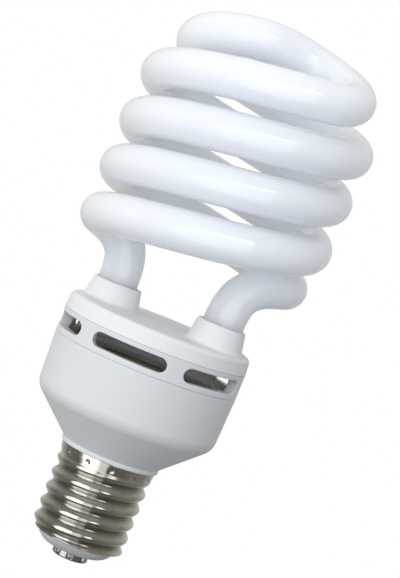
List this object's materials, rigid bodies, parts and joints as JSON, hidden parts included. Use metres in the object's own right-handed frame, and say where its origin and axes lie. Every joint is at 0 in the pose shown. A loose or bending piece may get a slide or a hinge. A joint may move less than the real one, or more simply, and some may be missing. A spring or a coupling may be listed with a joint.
{
  "type": "compact fluorescent lamp",
  "caption": "Compact fluorescent lamp with a coiled white glass tube on a slotted white ballast housing, and a large metal screw cap below.",
  "frame": {"origin": "middle of the flat face of the end contact, on the lamp's axis", "axes": "+Z along the lamp's axis from the screw cap to the glass, +X towards the right-hand leg of the glass as seen from the front, -Y the front"},
  "size_m": [0.1008, 0.0998, 0.2291],
  "materials": {
    "coated_glass": "gloss, coated white on the inside",
    "housing_white": "satin moulding",
    "cover_white": "fine matte moulding",
    "cap_metal": "rolled sheet, nickel plated",
    "contact_metal": "pressed sheet, tinned",
    "cap_insulator": "matte",
    "cement": "matte",
    "board": "laminate",
    "ferrite": "sintered",
    "copper_wire": "enamelled",
    "can_sleeve": "shrink sleeve",
    "black_moulding": "moulded",
    "film_dip": "dipped",
    "resistor_coat": "dipped",
    "thermistor_coat": "matte",
    "tinned_wire": "tinned",
    "live_sleeve": "extruded",
    "neutral_sleeve": "extruded"
  },
  "bodies": {
    "root": {"spiral_tube": "coated_glass", "lower_housing": "housing_white", "vent_ring": "housing_white", "upper_cover": "cover_white", "screw_shell": "cap_metal", "center_contact": "contact_metal", "cap_insulator": "cap_insulator", "tube_cement_right": "cement", "tube_cement_left": "cement", "circuit_board": "board", "choke_core_upper": "ferrite", "choke_core_lower": "ferrite", "drive_core": "ferrite", "filter_core": "ferrite", "choke_winding": "copper_wire", "drive_main_winding": "copper_wire", "drive_base_windings": "copper_wire", "filter_winding": "copper_wire", "smoothing_capacitor": "can_sleeve", "choke_bobbin": "black_moulding", "transistor_left": "black_moulding", "transistor_right": "black_moulding", "diode_1": "black_moulding", "diode_2": "black_moulding", "diode_3": "black_moulding", "diode_4": "black_moulding", "resonant_capacitor": "film_dip", "coupling_capacitor": "film_dip", "filter_capacitor": "film_dip", "fuse_resistor": "resistor_coat", "start_resistor": "resistor_coat", "start_thermistor": "thermistor_coat", "wire_posts": "tinned_wire", "electrode_lead_1": "tinned_wire", "electrode_lead_2": "tinned_wire", "electrode_lead_3": "tinned_wire", "electrode_lead_4": "tinned_wire", "live_wire": "live_sleeve", "neutral_wire": "neutral_sleeve"}
  },
  "joints": []
}
